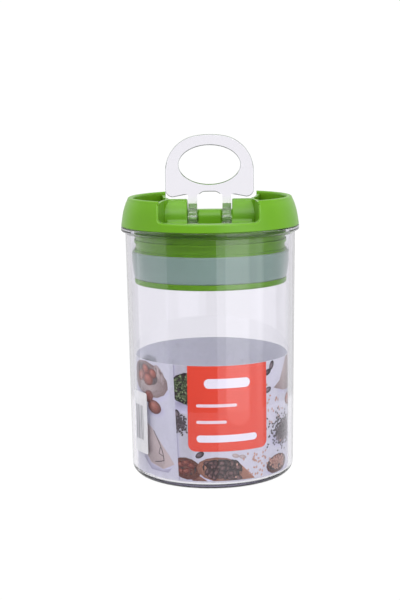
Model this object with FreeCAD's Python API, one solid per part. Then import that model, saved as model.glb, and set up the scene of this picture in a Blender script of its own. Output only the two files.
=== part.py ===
import FreeCAD, Part
import math
import os

# Airtight food canister: a clear round canister, a two-part lid ring with a plug below it,
# a silicone seal that a plunger squeezes, and a clear lever whose cams lift the plunger.
# Millimetres. +Z is up, -Y is the front, the origin is the centre of the canister's base.

NEAR = 0.01
PAST = 1.0

# ---- canister ----
BODY_TOP_Z = 148.1
BODY_BASE_R = 48.35
BODY_TOP_R = 50.0
BODY_CORNER_R = 6.0
MOUTH_R = 47.2
FLOOR_R = 45.9
FLOOR_Z = 3.4
FLOOR_CORNER_R = 2.0
BEAD_R = 52.5
BEAD_LOW_Z = 145.2
BEAD_ROUND = 0.9
BEAD_COVE = 1.2
ARC_MIDDLE = 1.0 - math.sqrt(0.5)
LIP_ROUND = 0.6
FOOT_INNER_R = 39.0
FOOT_RECESS = 0.6

# ---- paper pieces ----
LABEL_R = 45.5
LABEL_THICK = 0.25
LABEL_LOW_Z = 4.6
LABEL_TOP_Z = 72.4
LABEL_SEAM_DEG = -117.3
LABEL_OVERLAP_DEG = 14.0
LABEL_LEAN = 2.7
LABEL_CUT_SPARE = 0.07
LABEL_WIND = 0.4
LABEL_STEPS = 96
STICKER_THICK = 0.15
STICKER_LOW_Z = 17.0
STICKER_TOP_Z = 53.5
STICKER_FROM_DEG = -157.0
STICKER_TO_DEG = -139.5
STICKER_CORNER_R = 1.2

# ---- lid ring (outer moulding) ----
SEAT_GAP = 0.1
SKIRT_Z = BODY_TOP_Z + SEAT_GAP
RIM_Z = 165.0
SHELL_PROFILE = [(52.3, 0.0), (51.35, 6.6), (49.75, 12.5), (48.35, 15.6)]
SHELL_INNER_R = 45.15
RIM_ROUND = 1.3
SKIRT_ROUND = 0.4
RABBET_R = 50.5
RABBET_TOP_Z = 149.8
NOTCH_HALF = 28.0
NOTCH_LIP_Z = 153.0
NOTCH_CORNER_R = 2.2
NOTCH_EDGE_R = 0.9
NOTCH_EDGE_FROM_R = 48.0

# ---- lid core (inner moulding) ----
CORE_R = 44.9
FLANGE_R = 50.2
PLUG_R = 44.0
PLUG_LOW_Z = 133.9
PLUG_WALL = 2.2
PLUG_BAND_R = 44.9
PLUG_BANDS = [(133.9, 135.1), (139.0, 140.8), (144.6, 145.4)]
SPIGOT_R = 41.3
SPIGOT_WALL = 1.8
SPIGOT_LOW_Z = 130.9
SPIGOT_ROOT = 2.0
SKIN_LAP = 0.5
FLANGE_LAP = 1.0
SLOT_FLOOR_Z = 148.0
SLOT_FLOOR_THICK = 2.0
SLOT_HALF = 13.15
SLOT_REACH = 17.0
SLOT_FRAME = 2.0
BASIN_FLOOR_Z = 150.0
BASIN_FLOOR_THICK = 2.0
CORE_LIP_Z = 152.7
CORE_LIP_WALL = 1.7
SADDLE_R = 11.3
SADDLE_END = 24.6
SADDLE_WALL = 2.0
SADDLE_FOOT_R = 3.0
SADDLE_EDGE_R = 0.8
SIDE_WALL = 1.6
SIDE_WALL_TOP_Z = 163.3
SIDE_WALL_PLAN = [(24.6, 0.0), (24.6, 5.5), (26.4, 11.5), (28.6, 35.3)]
GUIDE_BOSS_WALL = 2.0
GUIDE_LOW_Z = 137.0

# ---- plunger ----
PIN_Z = 152.0
LIFT = 2.0
KNUCKLE_DEPTH = 10.2
KNUCKLE_FLAT = 0.6
KNUCKLE_END_ROUND = 0.9
POST_HALF_X = 6.85
POST_HALF_Y = 5.1
GUIDE_GAP = 0.2
POST_FLANGE_R = 17.0
POST_FLANGE_THICK = 2.4
PLATE_R = 44.9
PLATE_LOW_Z = 114.9
PLATE_TOP_Z = 118.3
PLATE_FLOOR = 2.2
PLATE_EDGE_R = 1.2
PLATE_SPIGOT_TOP_Z = 121.6
SCREW_COUNT = 3
SCREW_CIRCLE_R = 12.5
SCREW_SHANK_R = 1.3
SCREW_HEAD_R = 2.7
SCREW_HEAD_H = 1.9
SCREW_LENGTH = 7.0
SCREW_BOSS_R = 3.4
SCREW_FLOOR_GAP = 0.8
SCREW_HOLE_SPARE = 0.6
SCREW_CLEARANCE = 0.2
SCREW_HEAD_ROUND = 0.7
DRIVE_SIZE = 3.0
DRIVE_WIDTH = 0.7
DRIVE_DEPTH = 1.0

# ---- silicone seal ----
SEAL_TOP_R = 46.5
SEAL_LOW_R = 45.1
SEAL_TOP_Z = PLUG_LOW_Z
SEAL_LOW_Z = PLATE_TOP_Z
SEAL_INNER_R = 41.4
SEAL_TOP_BAND = 1.0
SEAL_SHOULDER = 0.7
SEAL_LOW_ROUND = 0.5
SEAL_WAIST_SHARE = 0.45
SEAL_WAIST_FULLNESS = 0.62

# ---- hinge pin and lever ----
PIN_R = 1.5
PIN_HALF = 12.3
PIN_CHAMFER = 0.2
BORE_GAP = 0.05
LEVER_THICK = 3.2
LEVER_OFFSET_Y = 1.0
LEVER_TOP_R = 49.0
LEVER_HALF = 26.1
LEVER_SHOULDER_R = 21.3
LEVER_LOW_H = 12.3
LEVER_LEG_EDGE_H = 14.0
LEVER_LOW_CORNER_R = 4.5
LEVER_EDGE_R = 0.9
LEG_INNER = 7.45
LEG_OUTER = 12.6
ARCH_TOP_H = 15.4
ARCH_R = 5.0
HOLE_H = 31.2
HOLE_HALF_X = 18.05
HOLE_HALF_Z = 11.35
CREASE_H = 32.9
CREASE_STEP = 0.3
CREASE_LOW_H = 29.2
CAM_GAP = 0.08
CAM_REST_H = PIN_Z - SLOT_FLOOR_Z - CAM_GAP
CAM_STEPS = 24
CAM_BACK = 3.6
CAM_TIP_H = 3.4
CAM_TIP_RISE = 5.2
LEG_LAP = 3.0
LEG_HEEL_H = 4.0
LEG_HEEL_LOW_H = 1.8
LEG_BACK_ROUND = 1.2


def vec(x, y, z):
    return FreeCAD.Vector(x, y, z)


def wire_of(points):
    closed = points + [points[0]]
    return Part.makePolygon([vec(*p) for p in closed])


def revolve(profile, angle=360.0, start=0.0):
    """Turn a closed (radius, height) profile about the vertical axis."""
    face = Part.Face(wire_of([(r, 0.0, z) for r, z in profile]))
    solid = face.revolve(vec(0, 0, 0), vec(0, 0, 1), angle)
    solid.rotate(vec(0, 0, 0), vec(0, 0, 1), start)
    return solid


def ring(r_in, r_out, z_low, z_top):
    """A plain tube, or a disc when r_in is zero."""
    tube = Part.makeCylinder(r_out, z_top - z_low, vec(0, 0, z_low))
    if r_in > 0:
        tube = tube.cut(Part.makeCylinder(r_in, z_top - z_low, vec(0, 0, z_low)))
    return tube


def block(x0, x1, y0, y1, z0, z1):
    return Part.makeBox(x1 - x0, y1 - y0, z1 - z0, vec(x0, y0, z0))


def prism(plan, z_low, z_top):
    """Straight column over a closed plan outline."""
    face = Part.Face(wire_of([(x, y, z_low) for x, y in plan]))
    return face.extrude(vec(0, 0, z_top - z_low))


def mirror_x(shape):
    return shape.mirror(vec(0, 0, 0), vec(1, 0, 0))


def mirror_y(shape):
    return shape.mirror(vec(0, 0, 0), vec(0, 1, 0))


def fuse_all(shapes):
    result = shapes[0]
    for shape in shapes[1:]:
        result = result.fuse(shape)
    return result.removeSplitter()


def round_edges(shape, radius, wanted):
    """Fillet the edges that the test picks, one group at a time."""
    edges = [edge for edge in shape.Edges if wanted(edge)]
    if not edges:
        raise ValueError("no edge to round")
    return shape.makeFillet(radius, edges)


def middle(edge):
    first, last = edge.ParameterRange
    return edge.valueAt((first + last) / 2.0)


def curve_face(segments):
    """A face bounded by lines and arcs; a segment is two points, or three for an arc."""
    edges = []
    for segment in segments:
        ends = [vec(*p) for p in segment]
        if len(ends) == 2:
            edges.append(Part.makeLine(ends[0], ends[1]))
        else:
            edges.append(Part.Arc(ends[0], ends[1], ends[2]).toShape())
    return Part.Face(Part.Wire(Part.__sortEdges__(edges)))


def corner_arc(cx, cz, radius, mid_deg):
    a = math.radians(mid_deg)
    return (cx + radius * math.cos(a), 0.0, cz + radius * math.sin(a))


# ---------------------------------------------------------------- canister

def wall_r(z):
    """Outer radius of the drafted wall at a height."""
    return BODY_BASE_R + (BODY_TOP_R - BODY_BASE_R) * z / BEAD_LOW_Z


def make_canister():
    side = [(0.0, FOOT_RECESS), (FOOT_INNER_R - FOOT_RECESS, FOOT_RECESS), (FOOT_INNER_R, 0.0)]
    foot_r = wall_r(BODY_CORNER_R) - BODY_CORNER_R
    corner = (foot_r, 0.0, BODY_CORNER_R)
    segments = []
    points = [(r, 0.0, z) for r, z in side] + [(foot_r, 0.0, 0.0)]
    for first, second in zip(points[:-1], points[1:]):
        segments.append((first, second))
    low = (wall_r(BODY_CORNER_R), 0.0, BODY_CORNER_R)
    segments.append((points[-1], corner_arc(corner[0], corner[2], BODY_CORNER_R, -45.0), low))
    cove_low = (wall_r(BEAD_LOW_Z - BEAD_COVE), 0.0, BEAD_LOW_Z - BEAD_COVE)
    cove_top = (BODY_TOP_R + BEAD_COVE, 0.0, BEAD_LOW_Z)
    cove_in = BEAD_COVE * ARC_MIDDLE
    cove_mid = (BODY_TOP_R + cove_in, 0.0, BEAD_LOW_Z - cove_in)
    bead_side_low = (BEAD_R, 0.0, BEAD_LOW_Z + BEAD_ROUND)
    bead_side_top = (BEAD_R, 0.0, BODY_TOP_Z - LIP_ROUND)
    bead_foot = (BEAD_R - BEAD_ROUND, 0.0, BEAD_LOW_Z)
    segments.append((low, cove_low))
    segments.append((cove_low, cove_mid, cove_top))
    segments.append((cove_top, bead_foot))
    segments.append((bead_foot, corner_arc(bead_foot[0], bead_side_low[2], BEAD_ROUND, -45.0), bead_side_low))
    segments.append((bead_side_low, bead_side_top))
    lip_out = (BEAD_R - LIP_ROUND, 0.0, BODY_TOP_Z)
    segments.append((bead_side_top, corner_arc(lip_out[0], bead_side_top[2], LIP_ROUND, 45.0), lip_out))
    lip_in = (MOUTH_R + LIP_ROUND, 0.0, BODY_TOP_Z)
    mouth = (MOUTH_R, 0.0, BODY_TOP_Z - LIP_ROUND)
    segments.append((lip_out, lip_in))
    segments.append((lip_in, corner_arc(lip_in[0], mouth[2], LIP_ROUND, 135.0), mouth))
    inner_low = (FLOOR_R, 0.0, FLOOR_Z + FLOOR_CORNER_R)
    floor_edge = (FLOOR_R - FLOOR_CORNER_R, 0.0, FLOOR_Z)
    segments.append((mouth, inner_low))
    segments.append((inner_low, corner_arc(floor_edge[0], inner_low[2], FLOOR_CORNER_R, -45.0), floor_edge))
    centre_top = (0.0, 0.0, FLOOR_Z)
    segments.append((floor_edge, centre_top))
    segments.append((centre_top, (0.0, 0.0, FOOT_RECESS)))
    return curve_face(segments).revolve(vec(0, 0, 0), vec(0, 0, 1), 360)


# ---------------------------------------------------------------- paper

def lapped_end_cut():
    """Wedge that trims the sheet's outer end, so that its edge leans and not the layer under it."""
    low = LABEL_LOW_Z - PAST
    top = LABEL_TOP_Z + PAST
    slope = LABEL_LEAN / (LABEL_TOP_Z - LABEL_LOW_Z)
    plan = [(-PAST, low), (LABEL_LEAN + slope * PAST, low), (-slope * PAST, top), (-PAST, top)]
    face = Part.Face(wire_of([(FLOOR_R - PAST, u, z) for u, z in plan]))
    wedge = face.extrude(vec(2 * PAST, 0, 0))
    wedge.rotate(vec(0, 0, 0), vec(0, 0, 1), LABEL_SEAM_DEG)
    return wedge.common(ring(LABEL_R - LABEL_THICK - LABEL_CUT_SPARE, LABEL_R + PAST, low, top))


def make_label():
    """One sheet rolled round the inside of the wall, its outer end lapped over its inner end."""
    height = LABEL_TOP_Z - LABEL_LOW_Z
    turn = 360.0 + LABEL_OVERLAP_DEG
    outer = []
    inner = []
    for i in range(LABEL_STEPS + 1):
        a = math.radians(LABEL_SEAM_DEG + turn * i / LABEL_STEPS)
        r = LABEL_R - LABEL_WIND * i / LABEL_STEPS
        outer.append(vec(r * math.cos(a), r * math.sin(a), LABEL_LOW_Z))
        r = r - LABEL_THICK
        inner.append(vec(r * math.cos(a), r * math.sin(a), LABEL_LOW_Z))
    outer_curve = Part.BSplineCurve()
    outer_curve.interpolate(outer)
    inner_curve = Part.BSplineCurve()
    inner_curve.interpolate(inner)
    edges = [outer_curve.toShape(), inner_curve.toShape()]
    edges.append(Part.makeLine(outer[0], inner[0]))
    edges.append(Part.makeLine(outer[-1], inner[-1]))
    face = Part.Face(Part.Wire(Part.__sortEdges__(edges)))
    return face.extrude(vec(0, 0, height)).cut(lapped_end_cut())


def make_sticker():
    """A small paper rectangle stuck on the outside of the wall."""
    low = wall_r(STICKER_LOW_Z)
    top = wall_r(STICKER_TOP_Z)
    profile = [(low, STICKER_LOW_Z), (low + STICKER_THICK, STICKER_LOW_Z),
               (top + STICKER_THICK, STICKER_TOP_Z), (top, STICKER_TOP_Z)]
    sheet = revolve(profile, STICKER_TO_DEG - STICKER_FROM_DEG, STICKER_FROM_DEG)

    def is_corner(edge):
        return abs(edge.Length - STICKER_THICK) < NEAR

    return round_edges(sheet, STICKER_CORNER_R, is_corner)


# ---------------------------------------------------------------- lid ring

def make_lid_shell():
    base, lower, upper, top = [(r, SKIRT_Z + dz) for r, dz in SHELL_PROFILE]
    outside = Part.BSplineCurve()
    start = vec(base[0], 0, base[1] + SKIRT_ROUND)
    end = vec(top[0], 0, top[1])
    outside.interpolate([start, vec(lower[0], 0, lower[1]), vec(upper[0], 0, upper[1]), end])
    crest_z = RIM_Z
    inner_top = vec(SHELL_INNER_R, 0, crest_z - RIM_ROUND)
    crest_in = vec(SHELL_INNER_R + RIM_ROUND, 0, crest_z)
    crest_out = vec(top[0] - RIM_ROUND, 0, crest_z)
    inset = RIM_ROUND * ARC_MIDDLE
    outer_mid = vec(top[0] - inset, 0, crest_z - inset)
    inner_mid = vec(SHELL_INNER_R + inset, 0, crest_z - inset)
    edges = [outside.toShape(),
             Part.Arc(end, outer_mid, crest_out).toShape(),
             Part.makeLine(crest_out, crest_in),
             Part.Arc(crest_in, inner_mid, inner_top).toShape(),
             Part.makeLine(inner_top, vec(SHELL_INNER_R, 0, RABBET_TOP_Z)),
             Part.makeLine(vec(SHELL_INNER_R, 0, RABBET_TOP_Z), vec(RABBET_R, 0, RABBET_TOP_Z)),
             Part.makeLine(vec(RABBET_R, 0, RABBET_TOP_Z), vec(RABBET_R, 0, SKIRT_Z)),
             Part.makeLine(vec(RABBET_R, 0, SKIRT_Z), vec(base[0] - SKIRT_ROUND, 0, SKIRT_Z)),
             Part.makeLine(vec(base[0] - SKIRT_ROUND, 0, SKIRT_Z), start)]
    face = Part.Face(Part.Wire(Part.__sortEdges__(edges)))
    shell = face.revolve(vec(0, 0, 0), vec(0, 0, 1), 360)
    reach = base[0] + PAST
    cutter = block(-NOTCH_HALF, NOTCH_HALF, -reach, reach, NOTCH_LIP_Z, RIM_Z + PAST)

    def along_y_low(edge):
        point = middle(edge)
        return abs(point.z - NOTCH_LIP_Z) < NEAR and abs(abs(point.x) - NOTCH_HALF) < NEAR

    cutter = round_edges(cutter, NOTCH_CORNER_R, along_y_low)
    shell = shell.cut(cutter)

    def on_notch(edge):
        point = middle(edge)
        outer_side = math.hypot(point.x, point.y) > NOTCH_EDGE_FROM_R
        inside_cut = abs(point.x) < NOTCH_HALF + NEAR and point.z > NOTCH_LIP_Z - NEAR
        return outer_side and inside_cut

    return round_edges(shell, NOTCH_EDGE_R, on_notch)


# ---------------------------------------------------------------- lid core

def side_wall():
    """One of the four walls that part a basin from a side pocket."""
    outer = [(x + SIDE_WALL, y) for x, y in SIDE_WALL_PLAN]
    plan = SIDE_WALL_PLAN + outer[::-1]
    return prism(plan, BASIN_FLOOR_Z - BASIN_FLOOR_THICK, SIDE_WALL_TOP_Z)


def saddle_half(inset, x0, x1):
    """A barrel lying along X over the hinge axis, with straight sides below it."""
    radius = SADDLE_R - inset
    low = BASIN_FLOOR_Z - BASIN_FLOOR_THICK
    barrel = Part.makeCylinder(radius, x1 - x0, vec(x0, 0, PIN_Z), vec(1, 0, 0))
    base = block(x0, x1, -radius, radius, low, PIN_Z)
    return barrel.common(block(x0, x1, -radius, radius, low, RIM_Z)).fuse(base).removeSplitter()


def saddle_foot(x0, x1):
    """Concave root where the saddle's front meets the basin floor."""
    y = -SADDLE_R
    z = BASIN_FLOOR_Z
    r = SADDLE_FOOT_R
    foot = block(x0, x1, y - r, y, z - PAST, z + r)
    return foot.cut(Part.makeCylinder(r, x1 - x0, vec(x0, y - r, z + r), vec(1, 0, 0)))


def guide_boss():
    """Square sleeve under the slot that keeps the post upright and stops it turning."""
    hx = POST_HALF_X + GUIDE_GAP + GUIDE_BOSS_WALL
    hy = POST_HALF_Y + GUIDE_GAP + GUIDE_BOSS_WALL
    return block(-hx, hx, -hy, hy, GUIDE_LOW_Z, SLOT_FLOOR_Z)


def guide_hole():
    hx = POST_HALF_X + GUIDE_GAP
    hy = POST_HALF_Y + GUIDE_GAP
    return block(-hx, hx, -hy, hy, GUIDE_LOW_Z - PAST, SLOT_FLOOR_Z + PAST)


def make_lid_core():
    plug_in = PLUG_R - PLUG_WALL
    floor_low = BASIN_FLOOR_Z - BASIN_FLOOR_THICK
    pieces = [ring(plug_in, PLUG_R, PLUG_LOW_Z, BASIN_FLOOR_Z),
              ring(0.0, CORE_R, floor_low, BASIN_FLOOR_Z),
              ring(CORE_R - CORE_LIP_WALL, CORE_R, floor_low, CORE_LIP_Z),
              ring(PLUG_R - FLANGE_LAP, FLANGE_R, SKIRT_Z, RABBET_TOP_Z),
              ring(SPIGOT_R - SPIGOT_WALL, SPIGOT_R, SPIGOT_LOW_Z, PLUG_LOW_Z + SPIGOT_ROOT),
              ring(SPIGOT_R - SPIGOT_WALL, plug_in + SKIN_LAP, PLUG_LOW_Z, PLUG_LOW_Z + SPIGOT_ROOT)]
    for z_low, z_top in PLUG_BANDS:
        pieces.append(ring(plug_in, PLUG_BAND_R, z_low, z_top))
    slot_low = SLOT_FLOOR_Z - SLOT_FLOOR_THICK
    slot_wide = SLOT_HALF + SADDLE_WALL
    slot_long = SLOT_REACH + SLOT_FRAME
    pieces.append(block(-slot_wide, slot_wide, -slot_long, slot_long, slot_low, floor_low + SKIN_LAP))
    pieces.append(guide_boss())
    barrel = saddle_half(0.0, SLOT_HALF, SADDLE_END + SIDE_WALL)
    hollow = saddle_half(SADDLE_WALL, SLOT_HALF + SADDLE_WALL, SADDLE_END - SADDLE_WALL / 2)

    def slot_side(edge):
        point = middle(edge)
        return abs(point.x - SLOT_HALF) < NEAR and point.z > PIN_Z + PAST

    barrel = round_edges(barrel, SADDLE_EDGE_R, slot_side)
    foot = saddle_foot(SLOT_HALF, SADDLE_END)
    for turn in (lambda s: s, mirror_x):
        pieces.append(turn(barrel))
        for flip in (lambda s: s, mirror_y):
            pieces.append(turn(flip(foot)))
            pieces.append(turn(flip(side_wall())))
    core = fuse_all(pieces)
    slot = block(-SLOT_HALF, SLOT_HALF, -SLOT_REACH, SLOT_REACH, SLOT_FLOOR_Z, RIM_Z + PAST)
    core = core.cut(slot)
    core = core.cut(guide_hole())
    for turn in (lambda s: s, mirror_x):
        core = core.cut(turn(hollow))
    below = ring(0.0, FLANGE_R + PAST, SPIGOT_LOW_Z - PAST, RABBET_TOP_Z)
    above = ring(0.0, CORE_R, RABBET_TOP_Z, RIM_Z + PAST)
    return core.common(below.fuse(above))


# ---------------------------------------------------------------- seal and plunger

def make_seal():
    """Silicone sleeve, widest near the top, with a soft shoulder and a tapered lower edge."""
    shoulder = SEAL_SHOULDER
    low_round = SEAL_LOW_ROUND
    waist_z = SEAL_LOW_Z + (SEAL_TOP_Z - SEAL_LOW_Z) * SEAL_WAIST_SHARE
    waist_r = SEAL_LOW_R + (SEAL_TOP_R - SEAL_LOW_R) * SEAL_WAIST_FULLNESS
    side = Part.BSplineCurve()
    top_out = vec(SEAL_TOP_R, 0, SEAL_TOP_Z - SEAL_TOP_BAND)
    low_out = vec(SEAL_LOW_R, 0, SEAL_LOW_Z + low_round)
    side.interpolate([top_out, vec(waist_r, 0, waist_z), low_out])
    edges = [side.toShape(),
             Part.makeLine(low_out, vec(SEAL_LOW_R - low_round, 0, SEAL_LOW_Z)),
             Part.makeLine(vec(SEAL_LOW_R - low_round, 0, SEAL_LOW_Z), vec(SEAL_INNER_R, 0, SEAL_LOW_Z)),
             Part.makeLine(vec(SEAL_INNER_R, 0, SEAL_LOW_Z), vec(SEAL_INNER_R, 0, SEAL_TOP_Z)),
             Part.makeLine(vec(SEAL_INNER_R, 0, SEAL_TOP_Z), vec(SEAL_TOP_R - shoulder, 0, SEAL_TOP_Z)),
             Part.makeLine(vec(SEAL_TOP_R - shoulder, 0, SEAL_TOP_Z), top_out)]
    face = Part.Face(Part.Wire(Part.__sortEdges__(edges)))
    return face.revolve(vec(0, 0, 0), vec(0, 0, 1), 360)


def screw_places():
    places = []
    for i in range(SCREW_COUNT):
        a = math.radians(90.0 + 360.0 * i / SCREW_COUNT)
        places.append((SCREW_CIRCLE_R * math.cos(a), SCREW_CIRCLE_R * math.sin(a)))
    return places


def plate_deck_z():
    return PLATE_LOW_Z + PLATE_FLOOR


def screw_reach():
    """How deep a screw goes into its boss."""
    return SCREW_LENGTH - 2 * SCREW_FLOOR_GAP


def boss_top_z():
    return plate_deck_z() + SCREW_LENGTH - SCREW_FLOOR_GAP


def make_pressure_plate():
    """Round plate under the seal: a rim the seal stands on, a spigot inside it, screw bosses."""
    rim_in = SPIGOT_R - SPIGOT_WALL
    pieces = [ring(0.0, PLATE_R, PLATE_LOW_Z, plate_deck_z()),
              ring(rim_in, PLATE_R, PLATE_LOW_Z, PLATE_TOP_Z),
              ring(rim_in, SPIGOT_R, PLATE_LOW_Z, PLATE_SPIGOT_TOP_Z)]
    for x, y in screw_places():
        pieces.append(Part.makeCylinder(SCREW_BOSS_R, boss_top_z() - PLATE_LOW_Z, vec(x, y, PLATE_LOW_Z)))
    plate = fuse_all(pieces)
    depth = screw_reach() + SCREW_HOLE_SPARE
    for x, y in screw_places():
        plate = plate.cut(Part.makeCylinder(SCREW_SHANK_R, depth, vec(x, y, boss_top_z() - depth)))

    def lower_rim(edge):
        point = middle(edge)
        return abs(point.z - PLATE_LOW_Z) < NEAR and math.hypot(point.x, point.y) > PLATE_R - PAST

    return round_edges(plate, PLATE_EDGE_R, lower_rim)


def make_post():
    """Square post through the guide, with the hinge knuckle on top and a flange at its foot."""
    knuckle_top = PIN_Z + KNUCKLE_DEPTH / 2
    foot_z = boss_top_z()
    stem = block(-POST_HALF_X, POST_HALF_X, -POST_HALF_Y, POST_HALF_Y, foot_z, knuckle_top)

    def top_along_x(edge):
        point = middle(edge)
        return abs(point.z - knuckle_top) < NEAR and abs(abs(point.y) - POST_HALF_Y) < NEAR

    def top_ends(edge):
        point = middle(edge)
        return abs(abs(point.x) - POST_HALF_X) < NEAR and point.z > PIN_Z + PAST

    stem = round_edges(stem, KNUCKLE_DEPTH / 2 - KNUCKLE_FLAT, top_along_x)
    stem = round_edges(stem, KNUCKLE_END_ROUND, top_ends)
    flange = ring(0.0, POST_FLANGE_R, foot_z, foot_z + POST_FLANGE_THICK)
    post = fuse_all([stem, flange])
    through = POST_FLANGE_THICK + 2 * PAST
    for x, y in screw_places():
        hole_r = SCREW_SHANK_R + SCREW_CLEARANCE
        post = post.cut(Part.makeCylinder(hole_r, through, vec(x, y, foot_z - PAST)))
    bore = Part.makeCylinder(PIN_R, 2 * PIN_HALF, vec(-PIN_HALF, 0, PIN_Z), vec(1, 0, 0))
    return post.cut(bore)


def make_screws():
    """Three identical pan-head screws that hold the plate to the post's flange."""
    seat = boss_top_z() + POST_FLANGE_THICK
    screws = []
    for x, y in screw_places():
        head = Part.makeCylinder(SCREW_HEAD_R, SCREW_HEAD_H, vec(x, y, seat))

        def head_rim(edge):
            return abs(middle(edge).z - seat - SCREW_HEAD_H) < NEAR

        head = round_edges(head, SCREW_HEAD_ROUND, head_rim)
        half = DRIVE_SIZE / 2
        arm = DRIVE_WIDTH / 2
        deep = seat + SCREW_HEAD_H - DRIVE_DEPTH
        high = seat + SCREW_HEAD_H + PAST
        head = head.cut(block(x - half, x + half, y - arm, y + arm, deep, high))
        head = head.cut(block(x - arm, x + arm, y - half, y + half, deep, high))
        length = POST_FLANGE_THICK + screw_reach()
        shank = Part.makeCylinder(SCREW_SHANK_R, length, vec(x, y, seat - length))
        screws.append(head.fuse(shank).removeSplitter())
    return Part.makeCompound(screws)


def make_pin():
    pin = Part.makeCylinder(PIN_R, 2 * PIN_HALF, vec(-PIN_HALF, 0, PIN_Z), vec(1, 0, 0))
    return pin.makeChamfer(PIN_CHAMFER, pin.Edges[0:1] + pin.Edges[2:3])


# ---------------------------------------------------------------- lever

def lever_outline():
    """Front view of the lever's plate above the legs, heights measured from the pin."""
    low = LEVER_LOW_H
    corner = LEVER_LOW_CORNER_R
    shoulder_x = LEVER_HALF - LEVER_SHOULDER_R
    shoulder_h = math.sqrt((LEVER_TOP_R - LEVER_SHOULDER_R) ** 2 - shoulder_x ** 2)
    lean = math.atan2(shoulder_h, shoulder_x)
    join = (shoulder_x + LEVER_SHOULDER_R * math.cos(lean), shoulder_h + LEVER_SHOULDER_R * math.sin(lean))
    mid_angle = math.degrees(lean) / 2
    mid = corner_arc(shoulder_x, shoulder_h, LEVER_SHOULDER_R, mid_angle)
    side_top = (LEVER_HALF, shoulder_h)
    side_low = (LEVER_HALF, low + corner)
    foot = (LEVER_HALF - corner, low)
    leg = (LEG_OUTER, LEVER_LEG_EDGE_H)

    def put(p):
        return (p[0], 0.0, PIN_Z + p[1])

    def flip(p):
        return (-p[0], p[1], p[2])

    right = [(put(leg), put(foot)),
             (put(foot), corner_arc(foot[0], PIN_Z + side_low[1], corner, -45.0), put(side_low)),
             (put(side_low), put(side_top)),
             (put(side_top), (mid[0], 0.0, PIN_Z + mid[2]), put(join))]
    left = [tuple(flip(p) for p in reversed(segment)) for segment in right]
    crown = [(put(join), (0.0, 0.0, PIN_Z + LEVER_TOP_R), flip(put(join)))]
    root = [(flip(put(leg)), put(leg))]
    return right + crown + left + root


def cam_point(turn):
    """Point of a cam whose distance to a flat floor grows evenly as the lever folds."""
    gain = LIFT / (math.pi / 2)
    height = CAM_REST_H + gain * turn
    y = -height * math.sin(turn) - gain * math.cos(turn)
    z = -height * math.cos(turn) + gain * math.sin(turn)
    return (y, z)


def leg_profile():
    """Side view of a leg: the cam below and in front of the pin, the straight leg above it."""
    cam = [cam_point(math.pi / 2 * i / CAM_STEPS) for i in range(CAM_STEPS + 1)]
    front = LEVER_OFFSET_Y - LEVER_THICK / 2
    back = LEVER_OFFSET_Y + LEVER_THICK / 2
    plate_lap = LEVER_LEG_EDGE_H + LEG_LAP
    tip_y = cam[-1][0]
    edges = []
    curve = Part.BSplineCurve()
    curve.interpolate([vec(0, y, PIN_Z + z) for y, z in cam])
    edges.append(curve.toShape())
    trail = [(tip_y, cam[-1][1]), (tip_y, CAM_TIP_H), (front, CAM_TIP_H + CAM_TIP_RISE),
             (front, plate_lap), (back, plate_lap), (back, LEG_HEEL_H),
             (CAM_BACK, LEG_HEEL_LOW_H), (CAM_BACK, -CAM_REST_H + LEG_BACK_ROUND),
             (CAM_BACK - LEG_BACK_ROUND, -CAM_REST_H), cam[0]]
    for first, second in zip(trail[:-1], trail[1:]):
        edges.append(Part.makeLine(vec(0, first[0], PIN_Z + first[1]), vec(0, second[0], PIN_Z + second[1])))
    return Part.Face(Part.Wire(Part.__sortEdges__(edges)))


def make_lever():
    front = LEVER_OFFSET_Y - LEVER_THICK / 2
    plate = curve_face(lever_outline()).extrude(vec(0, LEVER_THICK, 0))
    plate.translate(vec(0, front, 0))
    hole_wire = Part.Wire(Part.Ellipse(vec(0, 0, 0), HOLE_HALF_X, HOLE_HALF_Z).toShape())
    hole = Part.Face(hole_wire).extrude(vec(0, 0, 2 * LEVER_THICK + 2 * PAST))
    hole.rotate(vec(0, 0, 0), vec(1, 0, 0), 90.0)
    hole.translate(vec(0, LEVER_OFFSET_Y + LEVER_THICK + PAST, PIN_Z + HOLE_H))
    plate = plate.cut(hole)
    arch = block(-LEG_INNER, LEG_INNER, -LEVER_THICK, LEVER_THICK, PIN_Z, PIN_Z + ARCH_TOP_H)

    def arch_corner(edge):
        point = middle(edge)
        return abs(abs(point.x) - LEG_INNER) < NEAR and abs(point.z - PIN_Z - ARCH_TOP_H) < NEAR

    arch = round_edges(arch, ARCH_R, arch_corner)
    plate = plate.cut(arch)

    def plate_rim(edge):
        point = middle(edge)
        on_face = abs(abs(point.y - LEVER_OFFSET_Y) - LEVER_THICK / 2) < NEAR
        above_legs = point.z > PIN_Z + LEVER_LEG_EDGE_H + NEAR or abs(point.x) > LEG_OUTER + PAST
        return on_face and above_legs

    plate = round_edges(plate, LEVER_EDGE_R, plate_rim)
    crease_low = PIN_Z + CREASE_LOW_H
    crease_top = PIN_Z + CREASE_H
    step_y = front + CREASE_STEP
    plate = plate.cut(block(-LEVER_HALF, LEVER_HALF, front - PAST, step_y, crease_low, crease_top))
    leg = leg_profile().extrude(vec(LEG_OUTER - LEG_INNER, 0, 0))
    leg.translate(vec(LEG_INNER, 0, 0))
    lever = fuse_all([plate, leg, mirror_x(leg)])
    bore_half = LEG_OUTER + PAST
    bore = Part.makeCylinder(PIN_R + BORE_GAP, 2 * bore_half, vec(-bore_half, 0, PIN_Z), vec(1, 0, 0))
    return lever.cut(bore)


NODES = [("canister_body", make_canister), ("label_insert", make_label), ("label_sticker", make_sticker),
         ("lid_shell", make_lid_shell), ("lid_core", make_lid_core), ("silicone_seal", make_seal),
         ("pressure_plate", make_pressure_plate), ("plunger_post", make_post),
         ("plate_screws", make_screws), ("hinge_pin", make_pin), ("lever", make_lever)]


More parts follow.
